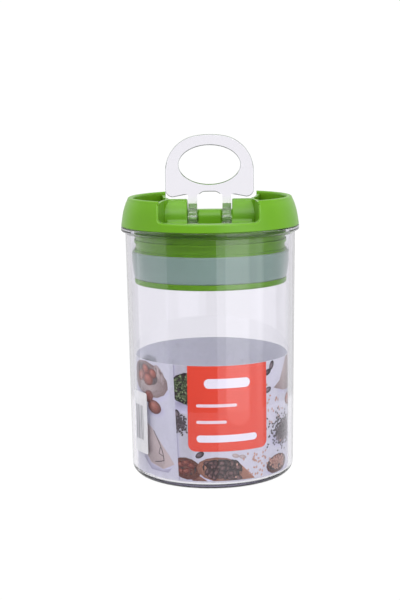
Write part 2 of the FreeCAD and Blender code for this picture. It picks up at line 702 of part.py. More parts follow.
def main():
    os.makedirs("parts", exist_ok=True)
    for name, make in NODES:
        shape = make()
        shape.exportStep("parts/" + name + ".step")
        print(name, shape.ShapeType, "solids", len(shape.Solids), "volume", round(shape.Volume, 1),
              "valid", shape.isValid())


main()
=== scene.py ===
import math
import random
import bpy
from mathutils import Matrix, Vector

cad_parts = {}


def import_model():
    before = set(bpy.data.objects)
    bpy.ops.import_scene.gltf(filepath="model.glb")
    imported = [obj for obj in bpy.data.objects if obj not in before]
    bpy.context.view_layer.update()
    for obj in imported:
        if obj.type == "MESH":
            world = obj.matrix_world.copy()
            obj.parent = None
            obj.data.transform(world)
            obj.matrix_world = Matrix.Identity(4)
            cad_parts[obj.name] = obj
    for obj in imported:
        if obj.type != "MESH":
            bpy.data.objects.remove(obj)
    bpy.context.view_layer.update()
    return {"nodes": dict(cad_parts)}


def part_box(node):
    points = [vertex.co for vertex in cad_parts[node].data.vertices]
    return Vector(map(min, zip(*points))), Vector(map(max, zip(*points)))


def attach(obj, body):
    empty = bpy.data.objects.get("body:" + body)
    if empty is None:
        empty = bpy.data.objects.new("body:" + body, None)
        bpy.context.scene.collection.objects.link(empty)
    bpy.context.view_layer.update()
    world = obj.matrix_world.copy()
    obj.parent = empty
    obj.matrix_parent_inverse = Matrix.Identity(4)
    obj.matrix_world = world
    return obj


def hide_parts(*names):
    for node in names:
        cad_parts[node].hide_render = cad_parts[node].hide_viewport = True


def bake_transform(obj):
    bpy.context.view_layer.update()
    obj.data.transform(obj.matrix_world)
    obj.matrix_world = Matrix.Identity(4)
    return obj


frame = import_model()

from types import SimpleNamespace

import bmesh
import bpy
from mathutils import Matrix, Vector

# Airtight canister with a flip lever lid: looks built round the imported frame.
# Metres, +Z up, -Y the front. The print on the label is generic.

MM = 0.001
NODES = frame["nodes"]

# ---- camera ----
CAMERA_DISTANCE = 0.777
CAMERA_HEIGHT = 0.2251
CAMERA_AZIMUTH = math.radians(1.2)
CAMERA_PITCH = math.radians(8.93)
CAMERA_PAN = math.radians(-0.48)
CAMERA_ROLL = math.radians(0.77)
CAMERA_LENS = 79.26
SENSOR_LONG = 36.0

# ---- studio: the world's brightness, by where a ray goes and how it got there ----
WHITE = 1.03
BACKDROP = 1.15
ROOM_DIM = 0.55
ROOM_TURN = (-0.2, 0.6)
GLOSS_BACKDROP = 0.8
GLOSS_DIM = 0.1
GLOSS_TURN = (0.2, 0.85)
CEILING = 0.25
CEILING_TURN = (0.1, 0.35)
LAMP_SHARE = 0.9

# ---- floor, with painted shade under the foot ----
FLOOR_R = 0.22
FLOOR_SIDES = 96
FOOT_SHADE = 0.88
FOOT_SHADE_R = 0.040
FOOT_LIGHT_R = 0.0475

# ---- plastics ----
WALL_TINT = (0.934, 0.928, 0.960)
# Painted shade: the wall's colour where it is seen edge-on.
WALL_EDGE_SHADE = (0.78, 0.78, 0.81)
WALL_EDGE_FACING = 0.85
LEVER_TINT = (0.93, 0.918, 0.955)
# Painted shade: the lever's colour along its rounded rim.
LEVER_RIM_SHADE = (0.45, 0.48, 0.46)
RIM_FACING = 0.8
FACE_FACING = 0.97
LEG_CLEAR_Z = 0.1655
LEG_FROST_Z = 0.156
LEG_TRANSMISSION = 0.93
LEG_MILK = (0.86, 0.95, 0.78)
CLEAR_ROUGH = 0.015
FROST_ROUGH = 0.24

# ---- textures ----
SOFT_ENDS = (0.3, 0.7)
INK_ENDS = (0.12, 0.88)
INK_GRAIN_SHARE = 0.2
INK_ROUGH_SPREAD = 0.06
PAPER_ROUGH_SPREAD = 0.08

# A Mix node keeps its colour sockets after those for values and vectors.
MIX_COLOR_A = 6
MIX_COLOR_B = 7
MIX_COLOR_RESULT = 2

# ---- the canister's outer wall and the sticker on it ----
WALL_LOW_R = 0.04835
WALL_TOP_R = 0.05
WALL_TOP_Z = 0.1452
STICKER_R = 0.049
STICKER_THICK = 0.00015
STRIPE_LIFT = 0.00004
STRIPES_FROM = math.radians(-153.5)
STRIPES_TO = math.radians(-144.5)
STRIPE_WIDTHS = (0.9, 0.5, 0.9, 0.4, 0.7, 0.4)
STRIPES_LOW = 0.22
STRIPES_HIGH = 0.78

# ---- the label sheet, in millimetres, as it is rolled inside the wall ----
LABEL_R = 45.5
LABEL_WIND = 0.4
SEAM_TURN = 27.3
ROLL_TURN = 374.0
SEAM_U = -math.radians(SEAM_TURN) * LABEL_R
SEAM_LEAN = 0.04
SEAM_GAP = 0.1
SEAM_SHADOW = 1.2
ROUND_U = 2 * math.pi * LABEL_R
BACK_RIGHT = SEAM_U + ROUND_U / 2
BACK_LEFT = SEAM_U - ROUND_U / 2
SHEET_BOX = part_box("label_insert")
SHEET_LOW = SHEET_BOX[0].z / MM + 0.7
SHEET_TOP = SHEET_BOX[1].z / MM - 0.05
LEFT_SIDE = {"right": SEAM_U - SEAM_GAP}
RIGHT_SIDE = {"left": SEAM_U + SEAM_GAP}

# ---- ink on the sheet, in millimetres ----
INK_BASE = 0.04
INK_STEP = 0.025
BLOB_SPREAD = 0.3 * INK_STEP
SHAPE_LIFT = INK_STEP / 2
CUT_EVERY = 2.0
CUT_NEAR = 1e-5
PRINT_SEED = 7
PANEL_LEFT = -13.0
PANEL_RIGHT = 34.2
PANEL_LOW = 22.6
PANEL_CORNER_R = 4.2

# ---- the silicone sleeve ----
SEAL_CLEAR = 0.0001
SEAL_TAPER = 0.0014
SEAL_BORE_R = 0.0415
SEAL_LIP = 0.0006
SEAL_STEPS = 22
SEAL_CURVE = 0.9
GROOVE_WIDE = 0.02
UPPER_GROOVE = (0.93, 0.00025)
LOWER_GROOVE = (0.05, 0.0002)
LATHE_TURNS = 128


# ---------------------------------------------------------------- node helpers

class Wiring:
    """A node tree being wired: short calls to add and link nodes."""

    def __init__(self, tree):
        self.tree = tree

    def add(self, kind, **sockets):
        node = self.tree.nodes.new(kind)
        for key, value in sockets.items():
            node.inputs[key.replace("_", " ")].default_value = value
        return node

    def feed(self, value, target):
        """Links an output to a socket, or writes a plain number into the socket."""
        if isinstance(value, (int, float)):
            target.default_value = value
        else:
            self.tree.links.new(value, target)

    def math(self, operation, *values):
        node = self.add("ShaderNodeMath")
        node.operation = operation
        for value, target in zip(values, node.inputs):
            self.feed(value, target)
        return node.outputs["Value"]

    def part(self, vector, axis):
        node = self.add("ShaderNodeSeparateXYZ")
        self.feed(vector, node.inputs["Vector"])
        return node.outputs[axis]

    def span(self, value, start=0.0, end=1.0, low=0.0, high=1.0, smooth=False):
        """Goes from low to high while the value goes from start to end."""
        node = self.add("ShaderNodeMapRange", From_Min=start, From_Max=end, To_Min=low, To_Max=high)
        node.interpolation_type = "SMOOTHSTEP" if smooth else "LINEAR"
        self.feed(value, node.inputs["Value"])
        return node.outputs["Result"]

    def mix(self, factor, no, yes):
        node = self.add("ShaderNodeMix")
        self.feed(factor, node.inputs["Factor"])
        self.feed(no, node.inputs["A"])
        self.feed(yes, node.inputs["B"])
        return node.outputs["Result"]

    def mix_toward(self, factor, source, color):
        """Mixes a fixed colour into one that comes from a node."""
        node = self.add("ShaderNodeMix")
        node.data_type = "RGBA"
        self.feed(factor, node.inputs["Factor"])
        self.feed(source, node.inputs[MIX_COLOR_A])
        node.inputs[MIX_COLOR_B].default_value = (*color, 1.0)
        return node.outputs[MIX_COLOR_RESULT]

    def noise(self, vector, scale, detail=3.0, roughness=0.5):
        node = self.add("ShaderNodeTexNoise", Scale=scale, Detail=detail, Roughness=roughness)
        self.feed(vector, node.inputs["Vector"])
        return node.outputs["Fac"]

    def tones(self, value, first, last, ends=SOFT_ENDS):
        """A colour between two tones, which are reached at the two ends."""
        node = self.add("ShaderNodeValToRGB")
        for element, position, color in zip(node.color_ramp.elements, ends, (first, last)):
            element.position = position
            element.color = (*color, 1.0)
        self.feed(value, node.inputs["Fac"])
        return node.outputs["Color"]


class Shader(Wiring):
    """A material being wired, starting from its Principled BSDF."""

    def __init__(self, name):
        self.mat = bpy.data.materials.new(name)
        self.mat.use_nodes = True
        super().__init__(self.mat.node_tree)
        self.bsdf = self.tree.nodes["Principled BSDF"]
        self.out = self.tree.nodes["Material Output"]

    def set(self, **values):
        for key, value in values.items():
            self.bsdf.inputs[key.replace("_", " ")].default_value = value

    def drive(self, socket, source):
        self.feed(source, self.bsdf.inputs[socket])

    def place(self, scale=(1.0, 1.0, 1.0)):
        coords = self.add("ShaderNodeTexCoord")
        mapping = self.add("ShaderNodeMapping", Scale=scale)
        self.feed(coords.outputs["Object"], mapping.inputs["Vector"])
        return mapping.outputs["Vector"]

    def bump(self, height, strength, distance):
        node = self.add("ShaderNodeBump", Distance=distance)
        self.feed(strength, node.inputs["Strength"])
        self.feed(height, node.inputs["Height"])
        self.drive("Normal", node.outputs["Normal"])


def srgb(r, g, b):
    """Linear colour from the usual 0 to 255 screen values."""
    def linear(c):
        c = c / 255.0
        return c / 12.92 if c <= 0.04045 else ((c + 0.055) / 1.055) ** 2.4
    return (linear(r), linear(g), linear(b))


def give(obj, material):
    """Puts one material on every slot of an object."""
    if not obj.material_slots:
        obj.data.materials.append(material)
    for entry in obj.material_slots:
        entry.link = "OBJECT"
        entry.material = material


def scene_object(name, data):
    obj = bpy.data.objects.new(name, data)
    bpy.context.scene.collection.objects.link(obj)
    return obj


def object_from(form, name):
    """Turns a finished bmesh into an object."""
    mesh = bpy.data.meshes.new(name)
    form.to_mesh(mesh)
    form.free()
    return scene_object(name, mesh)


# ---------------------------------------------------------------- materials

def absorb(s, density, color):
    """Takes light away along its way through the plastic, so that thick places are darker."""
    volume = s.add("ShaderNodeVolumeAbsorption", Density=density, Color=(*color, 1.0))
    s.feed(volume.outputs["Volume"], s.out.inputs["Volume"])


def painted_edge_shade(s, face_on, edge_shade, start):
    """Paints shade into clear plastic where it is seen edge-on: its colour darkens towards grazing view."""
    weight = s.add("ShaderNodeLayerWeight", Blend=0.5)
    s.drive("Base Color", s.tones(weight.outputs["Facing"], face_on, edge_shade, ends=(start, 1.0)))


def see_through(s, tint):
    """Lets lamps shine through clear plastic, so that what is inside is lit."""
    rays = s.add("ShaderNodeLightPath")
    through = s.add("ShaderNodeBsdfTransparent", Color=(*[c * LAMP_SHARE for c in tint], 1.0))
    shaders = s.add("ShaderNodeMixShader")
    s.feed(rays.outputs["Is Shadow Ray"], shaders.inputs["Fac"])
    s.feed(s.bsdf.outputs["BSDF"], shaders.inputs[1])
    s.feed(through.outputs["BSDF"], shaders.inputs[2])
    s.feed(shaders.outputs["Shader"], s.out.inputs["Surface"])


def clear_body():
    """Polished clear plastic with the faint ripple of a moulded wall."""
    s = Shader("clear_body")
    s.set(IOR=1.47, Transmission_Weight=1.0)
    # Painted shade along the wall where it is seen edge-on.
    painted_edge_shade(s, WALL_TINT, WALL_EDGE_SHADE, start=WALL_EDGE_FACING)
    absorb(s, density=7.0, color=(0.1, 0.0, 0.4))
    where = s.place()
    s.drive("Roughness", s.span(s.noise(where, scale=90.0), low=0.008, high=0.025))
    s.bump(s.noise(where, scale=55.0, detail=2.0), strength=0.04, distance=0.0004)
    see_through(s, WALL_TINT)
    return s.mat


def clear_lever():
    """Clear plastic with painted shade along its rounded rim; the legs' lower half is milky and uneven."""
    s = Shader("clear_lever")
    s.set(IOR=1.49)
    absorb(s, density=14.0, color=(0.13, 0.0, 0.5))
    where = s.place()
    frost = s.span(s.part(where, "Z"), LEG_CLEAR_Z, LEG_FROST_Z)
    normal = s.add("ShaderNodeTexCoord").outputs["Normal"]
    sideways = s.math("ABSOLUTE", s.part(normal, "Y"))
    # Painted shade: the colour darkens where the surface turns sideways, along the rounded rim.
    clear = s.tones(s.span(sideways, RIM_FACING, FACE_FACING), LEVER_RIM_SHADE, LEVER_TINT, ends=(0.0, 1.0))
    s.drive("Base Color", s.mix_toward(frost, clear, LEG_MILK))
    s.drive("Transmission Weight", s.span(frost, low=1.0, high=LEG_TRANSMISSION))
    s.drive("Roughness", s.span(frost, low=CLEAR_ROUGH, high=FROST_ROUGH))
    s.bump(s.noise(where, scale=640.0, detail=2.0), strength=frost, distance=0.0008)
    see_through(s, LEVER_TINT)
    return s.mat


def green_plastic():
    """Glossy moulded polypropylene: faint flow clouding, fine orange peel."""
    s = Shader("green_plastic")
    s.set(Specular_IOR_Level=0.36, Subsurface_Weight=0.05, Subsurface_Scale=0.002)
    s.set(Subsurface_Radius=(0.6, 1.0, 0.3))
    where = s.place()
    cloud = s.noise(where, scale=38.0, detail=4.0)
    s.drive("Base Color", s.tones(cloud, srgb(92, 145, 20), srgb(99, 152, 28)))
    s.drive("Roughness", s.span(s.noise(where, scale=260.0), low=0.24, high=0.38))
    s.bump(s.noise(where, scale=900.0, detail=2.0), strength=0.04, distance=0.0001)
    return s.mat


def silicone():
    """Milky soft rubber with a dusty sheen."""
    s = Shader("silicone")
    s.set(Subsurface_Weight=0.35, Subsurface_Scale=0.004, Specular_IOR_Level=0.35)
    s.set(Subsurface_Radius=(0.8, 1.0, 0.9), Sheen_Weight=1.0, Sheen_Roughness=0.35)
    where = s.place()
    s.drive("Base Color", s.tones(s.noise(where, scale=60.0), srgb(124, 149, 137), srgb(133, 157, 146)))
    s.drive("Roughness", s.span(s.noise(where, scale=300.0), low=0.42, high=0.6))
    s.bump(s.noise(where, scale=1400.0, detail=2.0), strength=0.08, distance=0.0001)
    return s.mat


def steel():
    """Plain steel with a fine grain drawn out along X."""
    s = Shader("steel")
    s.set(Metallic=1.0)
    grain = s.noise(s.place((1.0, 14.0, 14.0)), scale=700.0)
    s.drive("Base Color", s.tones(grain, (0.42, 0.42, 0.44), (0.6, 0.6, 0.62)))
    s.drive("Roughness", s.span(grain, low=0.22, high=0.4))
    return s.mat


def paper(name, low, high, rough=0.6):
    """Coated paper, thin enough for some light to come through."""
    s = Shader(name)
    s.set(Specular_IOR_Level=0.3, Subsurface_Weight=1.0, Subsurface_Scale=0.0011)
    s.set(Subsurface_Radius=(1.0, 1.0, 1.0))
    fibre = s.noise(s.place(), scale=420.0, detail=5.0)
    s.drive("Base Color", s.tones(fibre, low, high))
    s.drive("Roughness", s.span(fibre, low=rough - PAPER_ROUGH_SPREAD, high=rough + PAPER_ROUGH_SPREAD))
    s.bump(fibre, strength=0.1, distance=0.0001)
    return s.mat


def ink(name, dark, light, grain=260.0, stretch=(1.0, 1.0, 1.0), rough=0.42):
    """Printed colour between two tones: the drawn shade, broken up by a fine grain."""
    s = Shader(name)
    s.set(Specular_IOR_Level=0.35)
    shade = s.add("ShaderNodeAttribute")
    shade.attribute_name = "shade"
    texture = s.noise(s.place(stretch), scale=grain, detail=5.0)
    tone = s.mix(INK_GRAIN_SHARE, shade.outputs["Fac"], texture)
    s.drive("Base Color", s.tones(tone, dark, light, ends=INK_ENDS))
    s.drive("Roughness", s.span(texture, low=rough - INK_ROUGH_SPREAD, high=rough + INK_ROUGH_SPREAD))
    return s.mat


# ---------------------------------------------------------------- camera, light and floor

def camera():
    data = bpy.data.cameras.new("camera")
    data.sensor_fit = "AUTO"
    data.sensor_width = SENSOR_LONG
    data.lens = CAMERA_LENS
    data.clip_start = 0.01
    data.clip_end = 50.0
    cam = scene_object("camera", data)
    turn = Matrix.Rotation(CAMERA_AZIMUTH, 3, "Z")
    place = turn @ Vector((0.0, -CAMERA_DISTANCE, CAMERA_HEIGHT))
    level = turn @ Vector((math.sin(CAMERA_PAN), math.cos(CAMERA_PAN), 0.0))
    ahead = level * math.cos(CAMERA_PITCH) - Vector((0.0, 0.0, math.sin(CAMERA_PITCH)))
    right = ahead.cross(Vector((0.0, 0.0, 1.0))).normalized()
    up = right.cross(ahead)
    right_rolled = right * math.cos(CAMERA_ROLL) - up * math.sin(CAMERA_ROLL)
    up_rolled = up * math.cos(CAMERA_ROLL) + right * math.sin(CAMERA_ROLL)
    basis = Matrix((right_rolled, up_rolled, -ahead)).transposed().to_4x4()
    cam.matrix_world = Matrix.Translation(place) @ basis
    bpy.context.scene.camera = cam


def area_light(name, place, aim, size, power):
    data = bpy.data.lights.new(name, "AREA")
    data.shape = "RECTANGLE"
    data.size, data.size_y = size
    data.energy = power
    lamp = scene_object(name, data)
    lamp.location = place
    lamp.rotation_mode = "QUATERNION"
    lamp.rotation_quaternion = (Vector(aim) - Vector(place)).to_track_quat("-Z", "Y")
    return lamp


def softbox(name, azimuth, distance, height, size, radiance):
    """A flat lamp of even brightness; azimuth 0 is the front, 90 the right-hand side.
    With no distance it hangs overhead and points down."""
    a = math.radians(azimuth)
    place = (distance * math.sin(a), -distance * math.cos(a), height)
    aim = (0.0, 0.0, height) if distance else (0.0, 0.0, 0.0)
    return area_light(name, place, aim, size, radiance * math.pi * size[0] * size[1])


def lamps():
    softbox("key_right", azimuth=42.0, distance=0.75, height=0.25, size=(0.98, 1.1), radiance=0.88)
    softbox("key_right_core", azimuth=37.0, distance=0.72, height=0.3, size=(0.42, 0.9), radiance=0.8)
    softbox("fill_right", azimuth=95.0, distance=0.8, height=0.3, size=(0.9, 1.2), radiance=0.25)
    fill = softbox("fill_left", azimuth=-90.0, distance=0.8, height=0.3, size=(0.9, 1.2), radiance=1.2)
    fill.visible_glossy = False
    softbox("top", azimuth=0.0, distance=0.0, height=1.1, size=(0.9, 0.9), radiance=1.6)
    area_light("front_high", place=(0.0, -0.75, 0.95), aim=(0.0, 0.0, 0.1), size=(1.2, 0.6), power=7.0)


def world():
    """A white backdrop behind the object and a dim studio round the camera.
    Seen directly or through clear plastic it is white, but for a grey ceiling."""
    made = bpy.data.worlds.new("studio")
    made.use_nodes = True
    w = Wiring(made.node_tree)
    back = made.node_tree.nodes["Background"]
    back.inputs["Color"].default_value = (1.0, 1.0, 1.0, 1.0)
    way = w.add("ShaderNodeTexCoord").outputs["Generated"]
    axes = w.add("ShaderNodeSeparateXYZ")
    w.feed(way, axes.inputs["Vector"])
    rays = w.add("ShaderNodeLightPath").outputs
    bounces = w.math("ADD", rays["Diffuse Depth"], rays["Glossy Depth"])
    unbounced = w.math("LESS_THAN", bounces, 0.5)
    lit = w.span(axes.outputs["Y"], *ROOM_TURN, ROOM_DIM, BACKDROP, smooth=True)
    mirrored = w.span(axes.outputs["Y"], *GLOSS_TURN, GLOSS_DIM, GLOSS_BACKDROP, smooth=True)
    bounced = w.mix(w.span(rays["Glossy Depth"]), lit, mirrored)
    overhead = w.span(axes.outputs["Z"], *CEILING_TURN, WHITE, CEILING, smooth=True)
    seen = w.mix(rays["Is Camera Ray"], overhead, WHITE)
    w.feed(w.mix(unbounced, bounced, seen), back.inputs["Strength"])
    bpy.context.scene.world = made


def floor():
    """A glowing white table top, with painted shade just under the object."""
    form = bmesh.new()
    bmesh.ops.create_circle(form, cap_ends=True, segments=FLOOR_SIDES, radius=FLOOR_R)
    obj = object_from(form, "floor")
    s = Shader("floor")
    s.set(Base_Color=(0.0, 0.0, 0.0, 1.0), Roughness=1.0, Specular_IOR_Level=0.0)
    s.set(Emission_Color=(1.0, 1.0, 1.0, 1.0))
    away = s.add("ShaderNodeVectorMath")
    away.operation = "LENGTH"
    s.feed(s.place(), away.inputs[0])
    # Painted shade: the floor's glow dims just under the foot.
    shade = s.span(away.outputs["Value"], FOOT_SHADE_R, FOOT_LIGHT_R, FOOT_SHADE, WHITE, smooth=True)
    s.drive("Emission Strength", shade)
    give(obj, s.mat)
    obj.visible_glossy = False


# ---------------------------------------------------------------- ink on the label

class Print:
    """Ink of one kind on the label: shapes drawn flat (u along the sheet from the front,
    z up, in millimetres), then wrapped round it. Shade runs from 0 dark to 1 light."""

    def __init__(self, name, layer):
        self.name = name
        self.height = INK_BASE + INK_STEP * layer
        self.form = bmesh.new()
        self.shade = self.form.verts.layers.float.new("shade")

    def point(self, u, z, shade, lift=0.0):
        vert = self.form.verts.new((u, self.height + lift, z))
        vert[self.shade] = shade
        return vert

    def keep(self, verts, left, right):
        """Cuts the new shape off at two upright lines and at the sheet's edges."""
        faces = set()
        for vert in verts:
            faces.update(vert.link_faces)
        cuts = (((right, 0, SHEET_TOP), (1, 0, SEAM_LEAN)),
                ((left, 0, SHEET_TOP), (-1, 0, -SEAM_LEAN)),
                ((0, 0, SHEET_TOP), (0, 0, 1)),
                ((0, 0, SHEET_LOW), (0, 0, -1)))
        for place, facing in cuts:
            edges = {edge for face in faces for edge in face.edges}
            corners = {vert for face in faces for vert in face.verts}
            cut = bmesh.ops.bisect_plane(self.form, geom=list(faces) + list(edges) + list(corners),
                                         dist=CUT_NEAR, plane_co=place, plane_no=facing, clear_outer=True)
            faces = {part for part in cut["geom"] if isinstance(part, bmesh.types.BMFace) and part.is_valid}
            if not faces:
                return

    def blob(self, middle, reach, turn=0.0, core=1.0, rim=0.0, look=(-0.25, 0.3), sides=14,
             left=BACK_LEFT, right=BACK_RIGHT):
        """An oval lit from one side: core is the shade at a spot off its middle, rim round it."""
        u, z = middle
        ru, rz = reach
        lift = random.random() * BLOB_SPREAD
        a = math.radians(turn)

        def spot(x, y, shade):
            return self.point(u + x * math.cos(a) - y * math.sin(a),
                              z + x * math.sin(a) + y * math.cos(a), shade, lift)

        ring = []
        for i in range(sides):
            t = 2 * math.pi * i / sides
            ring.append(spot(ru * math.cos(t), rz * math.sin(t), rim))
        bright = spot(ru * look[0], rz * look[1], core)
        for one, two in zip(ring, ring[1:] + ring[:1]):
            self.form.faces.new((bright, one, two))
        at_side = (left, right) != (BACK_LEFT, BACK_RIGHT)
        if at_side or z + ru + rz > SHEET_TOP or z - ru - rz < SHEET_LOW:
            self.keep(ring + [bright], left, right)

    def shape(self, points, lift=0.0, left=BACK_LEFT, right=BACK_RIGHT):
        """A closed outline; each point is (u, z, shade)."""
        verts = [self.point(u, z, shade, lift) for u, z, shade in points]
        self.form.faces.new(verts)
        self.keep(verts, left, right)

    def stroke(self, points, width, shade):
        """A bent line of even width."""
        for (u0, z0), (u1, z1) in zip(points, points[1:]):
            along = Vector((u1 - u0, z1 - z0)).normalized() * width / 2
            side = Vector((-along.y, along.x))
            start = Vector((u0, z0)) - along
            end = Vector((u1, z1)) + along
            corners = (start + side, start - side, end - side, end + side)
            self.form.faces.new([self.point(corner.x, corner.y, shade) for corner in corners])

    def wrap(self):
        """Cuts the flat shapes into narrow strips, then bends them round the rolled sheet."""
        us = [vert.co.x for vert in self.form.verts]
        line = math.floor(min(us) / CUT_EVERY) * CUT_EVERY
        while line < max(us):
            everything = list(self.form.verts) + list(self.form.edges) + list(self.form.faces)
            bmesh.ops.bisect_plane(self.form, geom=everything, dist=CUT_NEAR,
                                   plane_co=(line, 0, 0), plane_no=(1, 0, 0))
            line += CUT_EVERY
        for vert in self.form.verts:
            u, out, z = vert.co
            past_seam = math.degrees(u / LABEL_R) + SEAM_TURN
            if u < SEAM_U + SEAM_LEAN * (SHEET_TOP - z):
                past_seam += 360
            r = LABEL_R - LABEL_WIND * past_seam / ROLL_TURN + out
            a = u / LABEL_R - math.pi / 2
            vert.co = (r * math.cos(a) * MM, r * math.sin(a) * MM, z * MM)

    def finish(self, material):
        self.wrap()
        loose = [vert for vert in self.form.verts if not vert.link_faces]
        bmesh.ops.delete(self.form, geom=loose, context="VERTS")
        for face in self.form.faces:
            centre = face.calc_center_median()
            face.normal_update()
            if face.normal.x * centre.x + face.normal.y * centre.y < 0:
                face.normal_flip()
            face.smooth = True
        obj = object_from(self.form, self.name)
        obj.data.materials.append(material)
        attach(obj, "canister")


def around(middle, reach, angle):
    """A place on an oval."""
    return (middle[0] + reach[0] * math.cos(angle), middle[1] + reach[1] * math.sin(angle))


def somewhere_in(middle, reach):
    """A random place inside an oval."""
    angle = random.uniform(0, 2 * math.pi)
    far = math.sqrt(random.random())
    return around(middle, (reach[0] * far, reach[1] * far), angle)


def scatter(count, middle, spread):
    """Places spread round a middle, thicker near it."""
    return [(random.gauss(middle[0], spread[0]), random.gauss(middle[1], spread[1])) for _ in range(count)]


def any_turn():
    return random.uniform(0, 180)


def within(limit):
    return random.uniform(-limit, limit)


def coffee_beans(layer, places, size, **sides):
    for place in places:
        layer.blob(place, (size * random.uniform(0.85, 1.15), size * 0.62), any_turn(),
                   core=random.uniform(0.35, 1.0), **sides)


def rounded(left, right, low, top, low_r, top_r, shade, steps=6):
    """Outline of a rectangle with its own corner radii below and above."""
    corners = ((right - low_r, low + low_r, low_r, -90), (right - top_r, top - top_r, top_r, 0),
               (left + top_r, top - top_r, top_r, 90), (left + low_r, low + low_r, low_r, 180))
    points = []
    for u, z, r, start in corners:
        for i in range(steps + 1 if r > 0 else 1):
            a = math.radians(start + 90 * i / steps)
            points.append((u + r * math.cos(a), z + r * math.sin(a), shade))
    return points


# ---------------------------------------------------------------- the label's pictures
# Millimetres on the flat sheet: a blob has its middle (u, z) and its half width and height.

def lapped_edge_painted_shadow(inks):
    """A painted shadow beside the sheet's lapped end, drawn in the shadow ink as if cast by the end on the
    turn under it.
    """
    lean = SEAM_LEAN * (SHEET_TOP - SHEET_LOW)
    near = SEAM_U + SEAM_GAP
    far = SEAM_U + SEAM_SHADOW
    inks.shadow.shape([(near + lean, SHEET_LOW, 1.0), (far + lean, SHEET_LOW, 0.0),
                       (far, SHEET_TOP, 0.0), (near, SHEET_TOP, 1.0)], **RIGHT_SIDE)


def open_sack(inks):
    """An open sack of nuts with a crumpled mouth, left of the seam, and two loose nuts."""
    inks.shadow.blob((-41, 58), (17, 9), -12, core=0.8, **LEFT_SIDE)
    inks.cloth.blob((-41.5, 61.5), (16.5, 10.0), -14, core=0.7, rim=0.15, look=(0.2, -0.5), **LEFT_SIDE)
    folds = 26
    for i in range(folds):
        angle = math.pi * (0.9 + 1.3 * i / (folds - 1))
        size = (random.uniform(1.6, 2.8), random.uniform(0.35, 0.7))
        inks.cloth.blob(around((-42.5, 62.0), (14.0, 8.4), angle), size, math.degrees(angle) + 75,
                        core=random.uniform(0.2, 1.0), rim=random.uniform(0.1, 0.5), **LEFT_SIDE)
    inks.cloth.blob((-32.0, 66.0), (5.4, 2.6), -58, rim=0.5, **LEFT_SIDE)
    inks.cloth.blob((-29.6, 63.0), (3.0, 1.6), -80, core=0.9, rim=0.3, **LEFT_SIDE)
    inks.hollow.blob((-43, 64.4), (10.5, 5.4), -18, core=0.1, rim=0.4, **LEFT_SIDE)
    heap = (((-48.5, 63.0), 4.2), ((-43.6, 67.0), 3.8), ((-41.2, 61.6), 4.8), ((-37.0, 65.4), 3.4))
    for place, size in heap:
        inks.nuts.blob(place, (size, size * 0.8), within(30), core=0.95, rim=0.1)
    inks.shadow.blob((-35, 43.6), (7.5, 4.0), core=0.9, **LEFT_SIDE)
    inks.nuts.blob((-40.8, 51.4), (4.2, 3.6), 20, core=0.85, rim=0.15)
    inks.nuts.blob((-35.9, 45.8), (5.6, 4.0), -12, core=0.9, rim=0.05)


def paper_bag(inks):
    """A folded paper bag tied with a cord."""
    inks.shadow.blob((-33, 15.5), (11, 5.0), -14, core=0.9, **LEFT_SIDE)
    inks.cloth.shape([(-46.0, 37.0, 0.95), (-38.0, 33.0, 1.05), (-25.2, 18.6, 1.05), (-21.8, 13.6, 0.95),
                      (-29.5, 9.8, 0.85), (-39.5, 12.2, 0.8), (-47.0, 20.0, 0.75)], **LEFT_SIDE)
    inks.cloth.shape([(-45.0, 30.5, 1.0), (-37.0, 24.0, 0.9), (-27.5, 14.4, 0.85), (-30.0, 10.4, 0.65),
                      (-39.0, 12.8, 0.55), (-46.0, 20.0, 0.6)], lift=SHAPE_LIFT, **LEFT_SIDE)
    inks.shadow.shape([(-46.0, 20.0, 0.3), (-39.0, 12.4, 0.2), (-29.5, 9.8, 0.2), (-21.8, 13.4, 0.5),
                       (-26.0, 8.2, 0.9), (-39.0, 8.2, 0.9), (-46.0, 14.0, 0.9)], **LEFT_SIDE)
    cord_u, cord_z = -36.5, 31.6
    sway, fall = 7.6, 16.6
    bends = 8
    cord = [(cord_u + sway * math.sin(1.5 * i / bends), cord_z - fall * i / bends) for i in range(bends + 1)]
    inks.beans.stroke(cord + [(-31.4, 14.2), (-35.4, 13.4)], width=0.5, shade=0.12)
    inks.beans.stroke([(-29.6, 17.6), (-32.6, 18.8), (-31.6, 22.4)], width=0.45, shade=0.15)


def seed_dish(inks):
    """A dish of green seeds behind the panel."""
    inks.shadow.blob((-14, 49.0), (13, 4.5), core=0.9, **RIGHT_SIDE)
    inks.hollow.blob((-12.0, 59.0), (12.5, 9.4), core=0.2, rim=0.05, **RIGHT_SIDE)
    for _ in range(230):
        inks.green.blob(somewhere_in((-12.0, 58.6), (11.6, 8.4)), (1.15, 0.7), any_turn(),
                        core=random.uniform(0.2, 1.3), rim=random.uniform(-0.3, 0.25), sides=7, **RIGHT_SIDE)


def nut_spoon(inks):
    """A spoon of nuts at the foot, left of the panel."""
    inks.shadow.blob((-10.5, 8.6), (10, 5.0), -20, **RIGHT_SIDE)
    inks.wood.blob((-14.2, 12.2), (8.8, 6.4), -14, core=0.2, rim=0.05, **RIGHT_SIDE)
    inks.wood.shape([(-9.5, 11.4, 0.3), (-7.4, 8.8, 0.4), (-2.0, 5.2, 0.35), (-10.5, 5.2, 0.1),
                     (-12.5, 7.6, 0.05)], **RIGHT_SIDE)
    inks.hollow.blob((-15.0, 13.0), (6.8, 4.6), -14, core=0.1, **RIGHT_SIDE)
    for place in ((-17.6, 14.4), (-14.2, 10.8), (-11.8, 14.2), (-17.0, 10.2), (-14.6, 15.6)):
        inks.nuts.blob(place, (3.0, 1.7), within(50), core=0.6, rim=-0.1, **RIGHT_SIDE)


